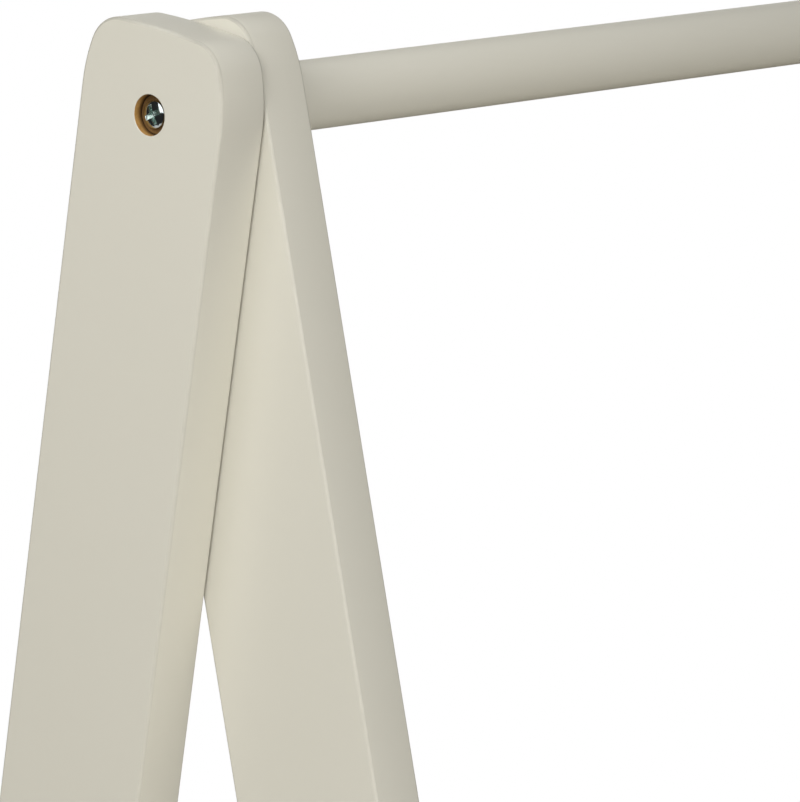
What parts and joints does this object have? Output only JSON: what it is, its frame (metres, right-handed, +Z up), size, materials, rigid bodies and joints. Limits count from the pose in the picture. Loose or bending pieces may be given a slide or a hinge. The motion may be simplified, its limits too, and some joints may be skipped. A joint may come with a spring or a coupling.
{
  "type": "kids clothing rack",
  "caption": "Low folding clothes rack for children: crossed flat legs pinned at the top by a bolt at each end of a round hanging rail, with a low shelf that drops over a back rail.",
  "frame": {"origin": "On the floor, midway between the four feet, below the middle of the hanging rail.", "axes": "+X along the hanging rail to the right, +Y to the back, +Z up."},
  "size_m": [0.85, 0.4416, 0.9995],
  "materials": {
    "lacquered_board": "satin warm grey lacquer on fibreboard",
    "lacquered_rail": "satin warm grey lacquer on turned wood",
    "zinc_bolt": "bright zinc plated",
    "zinc_insert": "die-cast zinc",
    "nylon": "natural nylon",
    "glide_plastic": "moulded polyethylene",
    "nail_steel": "bright drawn steel"
  },
  "bodies": {
    "front_frame": {"hanging_rail": "lacquered_rail", "left_front_glide": "glide_plastic", "left_front_glide_nail": "nail_steel", "left_front_leg": "lacquered_board", "left_hanging_rail_insert": "zinc_insert", "left_pivot_bolt": "zinc_bolt", "left_pivot_washer": "nylon", "right_front_glide": "glide_plastic", "right_front_glide_nail": "nail_steel", "right_front_leg": "lacquered_board", "right_hanging_rail_insert": "zinc_insert", "right_pivot_bolt": "zinc_bolt", "right_pivot_washer": "nylon"},
    "back_frame": {"left_back_glide": "glide_plastic", "left_back_glide_nail": "nail_steel", "left_back_leg": "lacquered_board", "left_low_rail_bolt": "zinc_bolt", "left_low_rail_insert": "zinc_insert", "low_rail": "lacquered_rail", "right_back_glide": "glide_plastic", "right_back_glide_nail": "nail_steel", "right_back_leg": "lacquered_board", "right_low_rail_bolt": "zinc_bolt", "right_low_rail_insert": "zinc_insert"},
    "shelf": {"left_shelf_bolt": "zinc_bolt", "left_shelf_insert": "zinc_insert", "left_shelf_spacer": "nylon", "right_shelf_bolt": "zinc_bolt", "right_shelf_insert": "zinc_insert", "right_shelf_spacer": "nylon", "shelf": "lacquered_board"}
  },
  "joints": [
    {"name": "frame_fold", "type": "hinge", "parent": "front_frame", "child": "back_frame", "pos_m": [0, 0, 0.966], "axis": [-1, 0, 0], "range_deg": [0, 18.5]},
    {"name": "shelf_lift", "type": "hinge", "parent": "front_frame", "child": "shelf", "pos_m": [0, -0.15278, 0.18], "axis": [1, 0, 0], "range_deg": [0, 74]}
  ],
  "couplings": [
    {"joint": "shelf_lift", "follows": "frame_fold", "ratio": 4}
  ]
}
